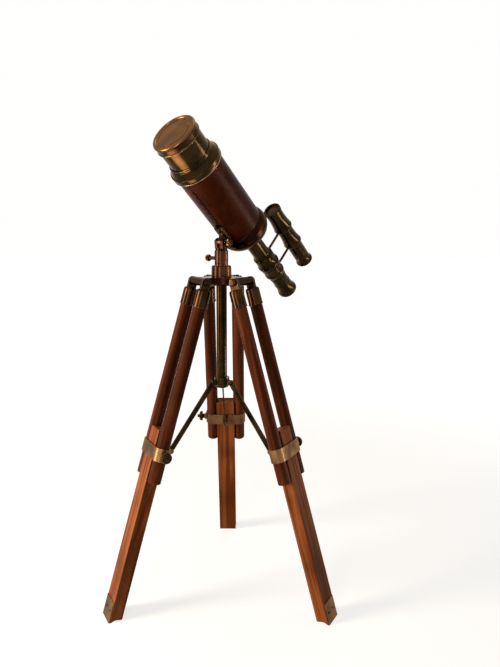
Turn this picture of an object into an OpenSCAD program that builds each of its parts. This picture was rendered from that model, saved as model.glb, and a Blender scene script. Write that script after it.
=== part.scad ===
// Table-top brass telescope on a folding wooden tripod.
// Millimetres, +Z up. The origin is on the floor, on the tripod's vertical axis.
// The rear leg stands over +Y, the two front legs to the right and left of -Y.

/* [Tripod] */
// Height of the leg pivots above the floor
pivot_h = 450; // [380:5:520]
// Distance of each leg pivot from the vertical axis
pivot_r = 33.2; // [32:0.2:38]
// Angle of each leg from the vertical when the tripod stands open
leg_splay = 16.7; // [12:0.1:20]
// Smallest angle of each leg from the vertical when it is folded
leg_folded = 2.2; // [2:0.1:6]

/* [Upper legs] */
// Diameter of the wooden rods
rod_d = 17.5; // [14:0.5:18]
// Distance between the two rods of a leg, centre to centre
rod_gap = 41.8; // [40:0.2:48]
// Distance down the leg from the pivot to the top of the rods
rod_top = 12; // [11:0.5:16]
// Distance down the leg from the pivot to the bottom of the rods
rod_end = 274; // [262:1:300]
// Length of rod inside each brass cap
cap_grip = 22; // [12:1:30]
// Wall of the brass caps
cap_wall = 0.95; // [0.6:0.05:1.5]
// Thickness of the ear on each cap
ear_t = 5; // [3:0.5:6]
// Diameter of the ears round the leg bolt
ear_d = 12.4; // [10:0.2:14]

/* [Lower legs] */
// Width of the lower leg across its grooves' lips
lower_w = 27.7; // [25:0.1:29]
// Distance down the leg from the pivot to the lower leg's top
lower_top = 205; // [180:1:215]
// Height of the toe plate up the outer face
toe_h = 23; // [14:1:40]
// Thickness of the toe plate
toe_t = 1; // [0.6:0.1:2]

/* [Leg clamps] */
// Distance down the leg from the pivot to the middle of the clamp
clamp_s = 234.5; // [232:0.5:240]
// Height of the clamp band along the leg
clamp_h = 17.5; // [12:0.5:22]
// Thickness of the clamp band
clamp_t = 1.6; // [1:0.1:2.5]
// Inward distance from the leg's middle plane to the brace pivot
lug_reach = 22; // [18:0.5:26]
// Diameter of the clamp screw
clamp_screw_d = 5; // [4:0.5:6]
// Diameter of the clamp screw's knob
clamp_knob_d = 14; // [11:0.5:18]

/* [Spreader] */
// Diameter of the centre pole
pole_d = 14.6; // [12:0.2:16]
// Height above the floor of the centre pole's lower end
pole_end_z = 303.6; // [290:0.2:320]
// Outer diameter of the sliding hub
hub_d = 21.2; // [20.4:0.2:21.6]
// Height of the sliding hub
hub_h = 10.5; // [8:0.5:14]
// Distance of the brace pivots from the vertical axis
hub_pivot_r = 14.5; // [14.3:0.1:16]
// Height of the brace pivots above the hub's lower face
hub_pivot_up = 3.5; // [3.5:0.1:6]
// Depth of the brace bars
brace_w = 7; // [5:0.2:7]
// Thickness of the brace bars
brace_t = 2; // [1.2:0.1:2.4]
// Diameter of the brace rivets
rivet_d = 3; // [2:0.1:3.4]

/* [Head] */
// Diameter of the cross barrels that carry the leg bolts
barrel_d = 11.7; // [10:0.1:12]
// Thickness of the head plate
plate_t = 9; // [7:0.5:10]
// Diameter of the leg bolts
leg_bolt_d = 5; // [4:0.1:6]
// Diameter of the collar on the head
collar_d = 27; // [24:0.5:30]
// Height of the collar on the head
collar_h = 15.8; // [10:0.2:20]
// Diameter of the swivel peg
peg_d = 12; // [9:0.2:13]

/* [Swivel and fork] */
// Outer diameter of the swivel sleeve
sleeve_d = 18.8; // [17:0.2:22]
// Height of the swivel sleeve
sleeve_h = 20.2; // [18:0.2:26]
// Height of the tilt pin above the sleeve's top
pin_up = 10.5; // [10:0.1:14]
// Thickness of each fork arm
fork_arm_t = 4; // [3:0.1:4.2]
// Width of the fork arms
fork_w = 12; // [10:0.2:13]
// Diameter of the tilt pin
pin_d = 4; // [3:0.1:5]
// Diameter of the two thumb screw knobs
knob_d = 9; // [7:0.2:11]

/* [Pointing] */
// Direction of the tilt pin, turned from +X about the vertical
scope_turn = -36.3; // [-180:0.1:180]
// Upward tilt of the telescope
scope_elev = 39; // [0:0.1:60]

/* [Telescope] */
// Distance from the tilt pin to the telescope's axis
tilt_drop = 45.4; // [44:0.2:52]
// Outer diameter of the brass main tube
tube_d = 62.8; // [58:0.2:65]
// Wall of the brass tubes
tube_wall = 1.4; // [1:0.1:2]
// Thickness of the leather sleeve
leather_t = 1; // [0.6:0.1:1.6]
// Distance from the tilt pin's plane to the front end of the leather
leather_front = 95; // [86:1:106]
// Distance from the tilt pin's plane to the rear end of the leather
leather_rear = 14; // [13.5:0.5:22]
// Distance that the front bell's rim stands out beyond the leather
front_rim_out = 3.2; // [2:0.1:6]
// Distance that the rear bell's rim stands out beyond the leather
rear_rim_out = 4; // [2:0.1:6]
// Step in from the leather's surface to the dew shield
dew_step = 3.7; // [3:0.1:7]
// Length of the dew shield in front of the front bell
dew_len = 32.4; // [28:0.2:44]
// Wall of the lens cap's skirt
cap_side_t = 1.3; // [1:0.1:2.5]
// Length of the lens cap's skirt over the dew shield
cap_skirt = 8; // [6:0.2:16]
// Thickness of the lens cap's face
cap_face_t = 3; // [2:0.1:4]
// Thickness of the objective lens at its rim
lens_edge_t = 3; // [2:0.1:5]

/* [Draw tube] */
// Outer diameter of the draw tube
draw_d = 25.2; // [22:0.2:26]
// Length of draw tube showing behind the rear bell
draw_out = 35.6; // [34:0.2:60]
// Length of draw tube inside the main tube
draw_in = 50; // [40:1:70]
// Diameter of the first swell of the eyepiece
swell_1_d = 34.6; // [33:0.2:37]
// Diameter of the second swell of the eyepiece
swell_2_d = 32; // [30:0.2:35]
// Diameter of the eyepiece barrel
eye_barrel_d = 25.4; // [24:0.2:27]
// Diameter of the eyecup's rim
eyecup_d = 31.2; // [29:0.2:34]

/* [Finder] */
// Distance between the axes of the finder and the draw tube
finder_rise = 58.6; // [57:0.2:68]
// Turn of the finder from the top of the draw tube towards the right
finder_turn = 8.8; // [0:0.1:20]
// Diameter of the finder's tube
finder_d = 25; // [22:0.2:27]
// Diameter of the finder's two swells
finder_swell_d = 29.4; // [28:0.2:32]
// Length of the finder in front of its first strut
finder_front = 38; // [34:1:48]
// Distance between the two struts
strut_gap = 35.4; // [32:0.2:46]
// Diameter of the struts
strut_d = 3.8; // [3:0.1:5]

/* [Clearances] */
// Radial clearance of pins and shafts that turn or slide
run_gap = 0.06; // [0.03:0.01:0.09]
// Clearance between faces that move past each other
side_gap = 0.3; // [0.25:0.05:0.4]

/* [Hidden] */
$fn = 64;

brass = [0.46, 0.34, 0.20];
bright_brass = [0.66, 0.50, 0.30];
steel = [0.52, 0.50, 0.45];
copper = [0.72, 0.46, 0.30];
wood = [0.60, 0.32, 0.18];
leather = [0.28, 0.10, 0.06];
glass = [0.62, 0.72, 0.74, 0.5];

// Number of steps along a turned curve
steps = 8;
// Small length by which a cutting solid passes through what it cuts
past = 1;

// Tripod
rod_r = rod_d / 2;
rod_y = rod_gap / 2;
cap_r = rod_r + cap_wall;
barrel_len = rod_gap - ear_t - 2 * side_gap;
ear_out = rod_y + ear_t / 2;
bolt_head_t = 3.6;
bolt_head_d = 2 * leg_bolt_d;
plate_top_z = pivot_h + barrel_d / 2 - 0.6;
plate_low_z = plate_top_z - plate_t;
band_r = rod_r + run_gap;
groove_r = rod_r + side_gap;
lower_depth = 2 * (band_r - side_gap);
leg_len = pivot_h / cos(leg_splay) + lower_depth;

// Corners of the head plate are cut by three round hollows between the arms
hollow_at = pivot_r + 12.8;
arm_half = barrel_len / 2 - 1.4;
hollow_r = norm([pivot_r - hollow_at / 2, hollow_at * cos(30) - arm_half]);

// Spreader
hub_low_z = pole_end_z + side_gap;
hub_pivot_z = hub_low_z + hub_pivot_up;
lug_r = pivot_r + clamp_s * sin(leg_splay) - lug_reach * cos(leg_splay);
lug_z = pivot_h - clamp_s * cos(leg_splay) - lug_reach * sin(leg_splay);
brace_len = norm([lug_r - hub_pivot_r, hub_pivot_z - lug_z]);
brace_angle = atan2(hub_pivot_z - lug_z, lug_r - hub_pivot_r);
lug_ear_t = 2;
lug_in = brace_t / 2 + side_gap;
rivet_head_t = 1.1;
boss_out = rod_y + band_r + clamp_t + 2;
rivet_head_d = 1.8 * rivet_d;
stop_d = pole_d + 3.6;
stop_t = 3;

// Head, swivel and fork
collar_top_z = plate_top_z + collar_h;
sleeve_low_z = collar_top_z + side_gap;
sleeve_top_z = sleeve_low_z + sleeve_h;
tilt_z = sleeve_top_z + pin_up;
sleeve_roof = 2.5;
peg_top_z = sleeve_top_z - sleeve_roof - side_gap;
fork_base_t = 3;
tongue_t = 5;
fork_in = tongue_t / 2 + side_gap;
fork_out = fork_in + fork_arm_t;
swivel_screw_z = sleeve_low_z + sleeve_h / 2 - 1;
swivel_screw_d = 4.4;
knob_len = 7;
nut_t = 3;

// Telescope, measured along its axis from the plane of the tilt pin
leather_r = tube_d / 2 + leather_t;
dew_r = leather_r - dew_step;
dew_in_r = dew_r - tube_wall;
bell_front = leather_front + 22;
dew_front = bell_front + dew_len;
dew_seat = leather_front + 8;
lens_back = dew_seat + 3;
cap_in_r = dew_r + 0.2;
cap_r_out = cap_in_r + cap_side_t;
cap_in_front = dew_front + side_gap;
cap_front = cap_in_front + cap_face_t;
cap_rear = dew_front - cap_skirt;
rim_front = leather_front + 10.5;
rim_rear = leather_rear + 13;
bell_back = rim_rear + 17;
guide_back = bell_back + 3;
bell_wall = 2;
guide_r = draw_d / 2 + run_gap;

// Draw tube and eyepiece, measured backwards from the plane of the tilt pin
draw_back = guide_back + draw_out;
swell_1_len = 30.2;
strut_1_back = draw_back + 9;
strut_2_back = strut_1_back + strut_gap;
swell_2_tail = 11;
swell_2_back = strut_2_back + swell_2_tail;
barrel_back = swell_2_back + 15.6;
cup_len = 25.6;
cup_back = barrel_back + cup_len;
base_r = draw_d / 2 + 3;
eye_hole_r = 7.5;
draw_in_r = draw_d / 2 - tube_wall - 1;
draw_grip = 4;

// Finder, measured backwards from the same plane
finder_nose = strut_1_back - finder_front;
finder_r = finder_d / 2;
finder_bore_r = finder_r - 2.2;
finder_draw_r = finder_bore_r - run_gap;
finder_focus = side_gap;
finder_hole_r = 5.6;
finder_mid = strut_2_back + 8.5;
finder_neck_len = 23.6;
finder_neck = finder_mid + finder_neck_len;
finder_cup_len = 17.2;
finder_end = finder_neck + finder_cup_len;
finder_draw_grip = 14;

// Points of a circular arc
function arc(c, r, from, to) =
    [for (i = [0 : steps])
        c + r * [cos(from + (to - from) * i / steps), sin(from + (to - from) * i / steps)]];

// Points of a smooth curve from a to b that bends towards c
function bend(a, c, b) =
    [for (i = [0 : steps]) let (k = i / steps) a * (1 - k) * (1 - k) + c * 2 * k * (1 - k) + b * k * k];

// Outline turned round the Z axis; points are [radius, height]
module turned(points) { rotate_extrude($fn = 96) polygon(points); }

module tube(r_out, r_in, z_low, z_high) {
    difference() {
        translate([0, 0, z_low]) cylinder(r = r_out, h = z_high - z_low);
        translate([0, 0, z_low - past]) cylinder(r = r_in, h = z_high - z_low + 2 * past);
    }
}

// Round bar along X, from one place to another
module bar_x(r, from, to) { translate([from, 0, 0]) rotate([0, 90, 0]) cylinder(r = r, h = to - from); }

// Round bar along Y, from one place to another
module bar_y(r, from, to) { translate([0, to, 0]) rotate([90, 0, 0]) cylinder(r = r, h = to - from); }

// Puts a shape in the upright half-plane of leg i: 0 rear, 1 right, 2 left
module to_side(i) { rotate([0, 0, 90 - 120 * i]) children(); }

// Leg frame: origin on the pivot, X outward, Y sideways, Z up along the leg
module on_leg(i) { to_side(i) translate([pivot_r, 0, pivot_h]) rotate([0, -leg_splay, 0]) children(); }

// Brace frame: origin on the hub pivot, X down along the brace, Y sideways
module on_brace(i) {
    to_side(i) translate([hub_pivot_r, 0, hub_pivot_z]) rotate([0, brace_angle, 0]) children();
}

// Fork frame: origin on the tilt pin, X along the pin, Z up
module on_fork() { translate([0, 0, tilt_z]) rotate([0, 0, scope_turn]) children(); }

// Telescope frame: Z forward on the tube's axis, Y up, X along the tilt pin, origin over the pin
module on_scope() { on_fork() rotate([90 - scope_elev, 0, 0]) translate([0, tilt_drop, 0]) children(); }

// Finder frame: as the telescope frame, with its origin on the finder's axis
module on_finder() { on_scope() rotate([0, 0, -finder_turn]) translate([0, finder_rise, 0]) children(); }

// Head

module plate_outline() {
    difference() {
        rotate(30) circle(r = 2 * pivot_r, $fn = 3);
        for (i = [0 : 2]) rotate(30 - 120 * i) translate([hollow_at, 0]) circle(r = hollow_r);
    }
}

module head_plate() {
    color(brass) difference() {
        union() {
            translate([0, 0, plate_low_z]) linear_extrude(plate_t) plate_outline();
            for (i = [0 : 2]) to_side(i) translate([pivot_r, 0, pivot_h])
                bar_y(barrel_d / 2, -barrel_len / 2, barrel_len / 2);
            translate([0, 0, plate_low_z - 3]) cylinder(r = pole_d / 2 + 4, h = 4);
        }
        for (i = [0 : 2]) to_side(i) translate([pivot_r, 0, pivot_h])
            bar_y(leg_bolt_d / 2 + run_gap, -barrel_len, barrel_len);
        translate([0, 0, plate_low_z - 3 - past]) cylinder(r = pole_d / 2 + run_gap, h = 6 + past);
    }
}

module leg_bolts() {
    color(steel) for (i = [0 : 2]) to_side(i) translate([pivot_r, 0, pivot_h]) {
        bar_y(leg_bolt_d / 2, -ear_out - side_gap, ear_out + side_gap);
        translate([0, ear_out + side_gap, 0]) rotate([-90, 0, 0]) bolt_head(true);
        translate([0, -ear_out - side_gap, 0]) rotate([90, 0, 0]) bolt_head(false);
    }
}

// Round head, with a screwdriver slot or a domed end
module bolt_head(slotted) {
    difference() {
        turned(concat([[0, 0], [bolt_head_d / 2, 0]],
            bend([bolt_head_d / 2, bolt_head_t * 0.55], [bolt_head_d / 2, bolt_head_t],
                [bolt_head_d / 4, bolt_head_t]), [[0, bolt_head_t]]));
        if (slotted) translate([-bolt_head_d, -0.5, bolt_head_t - 1.2]) cube([2 * bolt_head_d, 1, 2]);
    }
}

module head_collar() {
    round_r = 2;
    foot_r = collar_d / 2 + 0.4;
    color(brass) turned(concat(
        [[0, plate_top_z], [foot_r, plate_top_z], [foot_r, plate_top_z + 2]],
        arc([collar_d / 2 - round_r, collar_top_z - round_r], round_r, 0, 90),
        [[peg_d / 2, collar_top_z], [peg_d / 2, peg_top_z - 1], [peg_d / 2 - 1, peg_top_z],
         [0, peg_top_z]]));
}

// Spreader

module centre_pole() {
    color(bright_brass) union() {
        translate([0, 0, pole_end_z]) cylinder(d = pole_d, h = plate_low_z + 2 - pole_end_z);
        translate([0, 0, pole_end_z - 2]) cylinder(r = 3, h = 3);
    }
}

module pole_stop() {
    color(brass) difference() {
        turned(concat([[0, pole_end_z - stop_t - 1.5]],
            bend([3, pole_end_z - stop_t - 1.5], [stop_d / 2, pole_end_z - stop_t - 1.2],
                [stop_d / 2, pole_end_z - stop_t + 0.8]),
            [[stop_d / 2, pole_end_z], [0, pole_end_z]]));
        translate([0, 0, pole_end_z - 2 - run_gap]) cylinder(r = 3 + run_gap, h = 3);
    }
}

module spreader_hub() {
    ear_r = brace_w / 2 - 0.2;
    color(brass) difference() {
        union() {
            translate([0, 0, hub_low_z]) cylinder(d = hub_d, h = hub_h);
            for (i = [0 : 2]) to_side(i) for (side = [-1, 1])
                translate([0, side * (lug_in + lug_ear_t / 2), hub_pivot_z]) {
                    translate([hub_pivot_r, 0, 0]) bar_y(ear_r, -lug_ear_t / 2, lug_ear_t / 2);
                    translate([pole_d / 2 + 1.5, -lug_ear_t / 2, -ear_r])
                        cube([hub_pivot_r - pole_d / 2 - 1.5, lug_ear_t, 2 * ear_r]);
                }
        }
        translate([0, 0, hub_low_z - past]) cylinder(r = pole_d / 2 + run_gap, h = hub_h + 2 * past);
        for (i = [0 : 2]) to_side(i) translate([hub_pivot_r, 0, hub_pivot_z])
            bar_y(rivet_d / 2 + run_gap, -2 * lug_ear_t - lug_in, 2 * lug_ear_t + lug_in);
    }
}

module hub_rivets() {
    half = lug_in + lug_ear_t;
    color(steel) for (i = [0 : 2]) to_side(i) translate([hub_pivot_r, 0, hub_pivot_z]) {
        bar_y(rivet_d / 2, -half - rivet_head_t, half + rivet_head_t);
        bar_y(rivet_head_d / 2, half, half + rivet_head_t);
        bar_y(rivet_head_d / 2, -half - rivet_head_t, -half);
    }
}

module brace() {
    color(brass) difference() {
        union() {
            translate([0, -brace_t / 2, -brace_w / 2]) cube([brace_len, brace_t, brace_w]);
            for (x = [0, brace_len]) translate([x, 0, 0]) bar_y(brace_w / 2, -brace_t / 2, brace_t / 2);
        }
        for (x = [0, brace_len]) translate([x, 0, 0]) bar_y(rivet_d / 2 + run_gap, -brace_t, brace_t);
    }
}

module brace_rear() { on_brace(0) brace(); }
module brace_right() { on_brace(1) brace(); }
module brace_left() { on_brace(2) brace(); }

// Upper legs

module leg_rods() {
    edge = 0.8;
    color(wood) for (side = [-1, 1]) translate([0, side * rod_y, 0])
        turned([[0, -rod_end], [rod_r - edge, -rod_end], [rod_r, -rod_end + edge], [rod_r, -rod_top],
            [0, -rod_top]]);
}

module leg_rods_rear() { on_leg(0) leg_rods(); }
module leg_rods_right() { on_leg(1) leg_rods(); }
module leg_rods_left() { on_leg(2) leg_rods(); }

module leg_caps() {
    roof = 2;
    low = -rod_top - cap_grip;
    color(brass) for (side = [-1, 1]) translate([0, side * rod_y, 0]) difference() {
        union() {
            turned(concat([[0, low], [cap_r + 0.5, low], [cap_r + 0.5, low + 1.6], [cap_r, low + 2]],
                bend([cap_r, -rod_top - 2], [cap_r, -rod_top + roof], [ear_d / 2, -rod_top + roof]),
                [[0, -rod_top + roof]]));
            translate([-ear_d / 2, -ear_t / 2, -rod_top]) cube([ear_d, ear_t, rod_top]);
            bar_y(ear_d / 2, -ear_t / 2, ear_t / 2);
        }
        translate([0, 0, low - past]) cylinder(r = rod_r + run_gap / 2, h = cap_grip + past);
        bar_y(leg_bolt_d / 2 + run_gap, -ear_t, ear_t);
    }
}

module leg_caps_rear() { on_leg(0) leg_caps(); }
module leg_caps_right() { on_leg(1) leg_caps(); }
module leg_caps_left() { on_leg(2) leg_caps(); }

// Leg clamps

module race(r, z_low, z_high) {
    h = z_high - z_low;
    translate([-r, -rod_y, z_low]) cube([2 * r, rod_gap, h]);
    for (side = [-1, 1]) translate([0, side * rod_y, z_low]) cylinder(r = r, h = h);
}

module leg_clamp() {
    band_out = band_r + clamp_t;
    lug_half = brace_w / 2 + 0.2;
    low = -clamp_s - clamp_h / 2;
    high = -clamp_s + clamp_h / 2;
    color(steel) difference() {
        union() {
            race(band_out, low, high);
            translate([0, 0, -clamp_s]) bar_y(clamp_screw_d / 2 + 2.6, rod_y + rod_r, boss_out);
            for (side = [-1, 1]) translate([0, side * (lug_in + lug_ear_t / 2), -clamp_s]) {
                translate([-lug_reach, 0, 0]) bar_y(lug_half, -lug_ear_t / 2, lug_ear_t / 2);
                translate([-lug_reach, -lug_ear_t / 2, -lug_half])
                    cube([lug_reach - band_r, lug_ear_t, 2 * lug_half]);
            }
            for (side = [-1, 1]) translate([-lug_reach, 0, -clamp_s]) mirror([0, side > 0 ? 0 : 1, 0])
                bar_y(rivet_head_d / 2, lug_in, lug_in + lug_ear_t + rivet_head_t);
        }
        race(band_r, low - past, high + past);
        translate([0, 0, -clamp_s]) bar_y(clamp_screw_d / 2 + run_gap, rod_y, boss_out + past);
    }
}

module leg_clamp_rear() { on_leg(0) leg_clamp(); }
module leg_clamp_right() { on_leg(1) leg_clamp(); }
module leg_clamp_left() { on_leg(2) leg_clamp(); }

module clamp_screw() {
    from = rod_y + rod_r + side_gap;
    seat = boss_out + side_gap;
    knob_r = clamp_knob_d / 2;
    shank_r = clamp_screw_d / 2;
    color(brass) translate([0, 0, -clamp_s]) rotate([-90, 0, 0]) turned(concat(
        [[0, from], [shank_r - 0.5, from], [shank_r, from + 0.5], [shank_r, seat], [shank_r + 1.2, seat],
         [shank_r + 0.9, seat + 1.6]],
        bend([shank_r + 1, seat + 2], [shank_r + 1.4, seat + 3.4], [knob_r - 0.6, seat + 3.6]),
        arc([knob_r - 1, seat + 4.6], 1, -60, 0), arc([knob_r - 1, seat + 7], 1, 0, 90),
        bend([knob_r - 2, seat + 8], [knob_r - 3, seat + 8.6], [2.6, seat + 9]),
        arc([1.2, seat + 10.6], 1.2, 0, 90),
        [[0, seat + 11.8]]));
}

module clamp_screw_rear() { on_leg(0) clamp_screw(); }
module clamp_screw_right() { on_leg(1) clamp_screw(); }
module clamp_screw_left() { on_leg(2) clamp_screw(); }

// Lower legs

module below_floor(z) { translate([-300, -300, z - 100]) cube([600, 600, 100]); }

module lower_leg(i) {
    bevel = 1.2;
    color(wood) difference() {
        on_leg(i) difference() {
            translate([-lower_depth / 2, -lower_w / 2, -leg_len])
                cube([lower_depth, lower_w, leg_len - lower_top]);
            for (side = [-1, 1]) translate([0, side * rod_y, -leg_len - past])
                cylinder(r = groove_r, h = leg_len);
            for (x = [-1, 1]) translate([x * lower_depth / 2, 0, -lower_top]) rotate([0, 45, 0])
                cube([bevel, 2 * lower_w, bevel], center = true);
        }
        below_floor(0);
    }
}

module lower_leg_rear() { lower_leg(0); }
module lower_leg_right() { lower_leg(1); }
module lower_leg_left() { lower_leg(2); }

module toe_plate(i) {
    foot_s = pivot_h / cos(leg_splay);
    width = lower_w - 1;
    pin_r = 1.3;
    color(bright_brass) difference() {
        on_leg(i) union() {
            translate([lower_depth / 2, -width / 2, -leg_len])
                cube([toe_t, width, leg_len - foot_s + toe_h + lower_depth / 2 * tan(leg_splay)]);
            for (side = [-1, 1])
                translate([lower_depth / 2 + toe_t - 0.2, side * width / 4, -foot_s + toe_h / 2])
                bar_x(pin_r, 0, 0.9);
        }
        below_floor(side_gap);
    }
}

module toe_plate_rear() { toe_plate(0); }
module toe_plate_right() { toe_plate(1); }
module toe_plate_left() { toe_plate(2); }

// Swivel and fork

module swivel_sleeve() {
    edge = 0.8;
    color(brass) difference() {
        turned([[0, sleeve_low_z], [sleeve_d / 2, sleeve_low_z], [sleeve_d / 2, sleeve_top_z - edge],
            [sleeve_d / 2 - edge, sleeve_top_z], [0, sleeve_top_z]]);
        translate([0, 0, sleeve_low_z - past])
            cylinder(r = peg_d / 2 + run_gap, h = sleeve_h - sleeve_roof + past);
        translate([0, 0, swivel_screw_z]) rotate([0, 0, scope_turn])
            bar_x(swivel_screw_d / 2 + run_gap, -sleeve_d, 0);
    }
}

module fork() {
    color(brass) on_fork() difference() {
        union() {
            translate([0, 0, -pin_up]) cylinder(r = fork_out + 1.4, h = fork_base_t);
            for (side = [-1, 1]) mirror([side > 0 ? 0 : 1, 0, 0]) {
                translate([fork_in, -fork_w / 2, -pin_up + fork_base_t - past])
                    cube([fork_arm_t, fork_w, pin_up - fork_base_t + past]);
                bar_x(fork_w / 2, fork_in, fork_out);
            }
        }
        bar_x(pin_d / 2 + run_gap, -2 * fork_out, 2 * fork_out);
    }
}

// Mushroom-shaped thumb screw along X: a shank up to reach, then a thicker stem and the knob
module thumb_screw(shank_r, reach, stem) {
    neck_r = shank_r + 0.3;
    knob_r = knob_d / 2;
    knob_low = reach + stem;
    knob_top = knob_low + knob_len;
    rotate([0, 90, 0]) turned(concat(
        [[0, 0], [shank_r, 0], [shank_r, reach], [neck_r, reach], [neck_r, knob_low]],
        bend([neck_r, knob_low], [neck_r, knob_low + 2], [knob_r - 0.5, knob_low + 2.8]),
        arc([knob_r - 0.8, knob_low + 3.8], 0.8, -40, 0),
        arc([knob_r - 1.4, knob_top - 1.4], 1.4, 0, 90),
        [[knob_r - 2.2, knob_top], [knob_r - 2.6, knob_top - 0.6], [0, knob_top - 0.6]]));
}

module swivel_screw() {
    from = peg_d / 2 + 2 * run_gap;
    color(bright_brass) translate([0, 0, swivel_screw_z]) rotate([0, 0, scope_turn + 180])
        translate([from, 0, 0]) thumb_screw(swivel_screw_d / 2, sleeve_d / 2 + side_gap - from, 9.4);
}

module tilt_screw() {
    from = -fork_out - nut_t - 1.5;
    color(bright_brass) on_fork() union() {
        translate([from, 0, 0]) thumb_screw(pin_d / 2, fork_out + side_gap - from, 2.9);
        bar_x(pin_d - 0.1, fork_out + side_gap, fork_out + side_gap + 1.5);
    }
}

module tilt_nut() {
    color(steel) on_fork() difference() {
        translate([-fork_out - nut_t, 0, 0]) rotate([0, 90, 0]) cylinder(r = pin_d + 0.2, h = nut_t, $fn = 6);
        bar_x(pin_d / 2 + run_gap, -2 * fork_out, 0);
    }
}

// Saddle under the main tube

saddle_w = 12.5;
saddle_front = 21.5;
saddle_rear = leather_rear - side_gap;
saddle_t = 4.4;
saddle_low = -leather_r - saddle_t;
saddle_screw_d = 2.6;
saddle_head_d = 4.8;
saddle_screw_in = 3.6;
saddle_screw_z = [saddle_front - saddle_screw_in, saddle_screw_in - saddle_rear];
tongue_r = fork_w / 2 - 0.6;
tongue_half = saddle_rear - saddle_screw_in - saddle_head_d / 2 - side_gap;

module saddle() {
    color(steel) on_scope() difference() {
        union() {
            translate([-saddle_w / 2, saddle_low, saddle_w / 2 - saddle_rear])
                cube([saddle_w, saddle_t + 2, saddle_front + saddle_rear - saddle_w]);
            for (z = [saddle_front - saddle_w / 2, saddle_w / 2 - saddle_rear])
                translate([0, saddle_low, z]) rotate([-90, 0, 0]) cylinder(d = saddle_w, h = saddle_t + 2);
            translate([-tongue_t / 2, 0, 0]) rotate([90, 0, 90]) linear_extrude(tongue_t)
                polygon([[saddle_low + past, -tongue_half], [-tilt_drop, -tongue_r], [-tilt_drop, tongue_r],
                    [saddle_low + past, tongue_half]]);
            translate([0, -tilt_drop, 0]) bar_x(tongue_r, -tongue_t / 2, tongue_t / 2);
        }
        translate([0, 0, -2 * saddle_front]) cylinder(r = leather_r, h = 4 * saddle_front);
        translate([0, -tilt_drop, 0]) bar_x(pin_d / 2 + run_gap, -tongue_t, tongue_t);
        for (z = saddle_screw_z) translate([0, 0, z]) bar_y(saddle_screw_d / 2 + run_gap, -tilt_drop, 0);
    }
}

module saddle_screws() {
    color(steel) on_scope() for (z = saddle_screw_z) translate([0, 0, z]) {
        bar_y(saddle_screw_d / 2, saddle_low, -leather_r);
        bar_y(saddle_head_d / 2, saddle_low - 1.1, saddle_low);
        bar_y(saddle_head_d / 2 - 0.7, saddle_low - 1.6, saddle_low - 1.1);
    }
}

// Telescope body

module main_tube() {
    color(bright_brass) on_scope() tube(tube_d / 2, tube_d / 2 - tube_wall, -leather_rear - 8, dew_seat);
}

module leather_sleeve() {
    color(leather) on_scope() tube(leather_r, tube_d / 2, -leather_rear, leather_front);
}

module front_bell() {
    rim_r = leather_r + front_rim_out;
    edge = 1;
    color(brass) on_scope() turned(concat(
        [[tube_d / 2, dew_seat], [tube_d / 2, leather_front], [leather_r, leather_front]],
        bend([leather_r + 0.6, leather_front], [rim_r - 0.7, leather_front + 1],
            [rim_r - 0.4, leather_front + 5]),
        [[rim_r - 0.4, rim_front - 2.6], [rim_r, rim_front - 2.2]],
        arc([rim_r - edge, rim_front - edge], edge, 0, 80),
        bend([rim_r - 1.4, rim_front], [dew_r + 4.2, rim_front + 3], [dew_r + 2.2, bell_front - 4.2]),
        [[dew_r + 1.4, bell_front - 3.8], [dew_r + 1.4, bell_front - 2.8], [dew_r + 1.8, bell_front - 2.4],
         [dew_r + 1.8, bell_front - 1.4], [dew_r + 1, bell_front - 1], [dew_r + 1, bell_front],
         [dew_r, bell_front], [dew_r, dew_seat]]));
}

// Outline of the rear bell, drawn in by the given wall, with a bead round its widest part
function bell_line(wall, bead) =
    let (r = leather_r + rear_rim_out - wall, back = bell_back - wall) concat(
        bend([leather_r + 0.4 - wall, -leather_rear], [r - 1, -leather_rear - 1.6], [r, -rim_rear + 5]),
        [[r, -rim_rear + 2], [r + bead, -rim_rear + 1.6], [r + bead, -rim_rear], [r, -rim_rear - 0.4]],
        bend([r, -rim_rear - 1], [r - 0.4, -rim_rear - 5], [r - 4, -rim_rear - 10]),
        bend([r - 5, -rim_rear - 11], [r - 9, -back + 2], [guide_r + 4.6, -back]));

module rear_bell() {
    seat = leather_rear + 8;
    guide_out = guide_r + 2.2;
    inner_r = tube_d / 2 - bell_wall;
    color(copper) on_scope() difference() {
        turned(concat([[guide_r, -seat], [tube_d / 2, -seat], [tube_d / 2, -leather_rear]], bell_line(0, 0.5),
            [[guide_out + 1, -bell_back], [guide_out, -bell_back - 0.6], [guide_out, -guide_back + 0.4],
             [guide_out - 0.4, -guide_back], [guide_r, -guide_back]]));
        turned(concat([[guide_out, past - seat], [inner_r, past - seat], [inner_r, -seat - bell_wall]],
            [for (p = bell_line(bell_wall, 0)) if (p[1] < -seat - bell_wall) p],
            [[guide_out, bell_wall - bell_back]]));
    }
}

module dew_shield() {
    color(brass) on_scope() difference() {
        tube(dew_r, dew_in_r, dew_seat, dew_front);
        translate([0, 0, dew_front - 0.4]) cylinder(r1 = dew_in_r, r2 = dew_in_r + 0.6, h = 0.6);
    }
}

module lens_cap() {
    r = cap_r_out;
    side_r = r - 0.6;
    round_r = 2.2;
    field_r = r - 5;
    field_z = cap_front - 0.7;
    ring_r = 0.72 * r;
    color(copper) on_scope() difference() {
        turned(concat(
            [[cap_in_r, cap_rear], [r - 0.4, cap_rear], [r, cap_rear + 0.5], [r, cap_rear + 1.3],
             [side_r, cap_rear + 1.9], [side_r, cap_front - 4.4]],
            bend([side_r, cap_front - 4.2], [r - 0.2, cap_front - 3.6], [r, cap_front - round_r - 0.6]),
            arc([r - round_r, cap_front - round_r], round_r, 0, 90),
            [[field_r + 0.7, cap_front], [field_r, field_z], [0, field_z], [0, cap_in_front],
             [cap_in_r, cap_in_front]]));
        translate([0, 0, field_z - 0.5]) tube(ring_r + 0.6, ring_r - 0.6, 0, past);
    }
}

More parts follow.
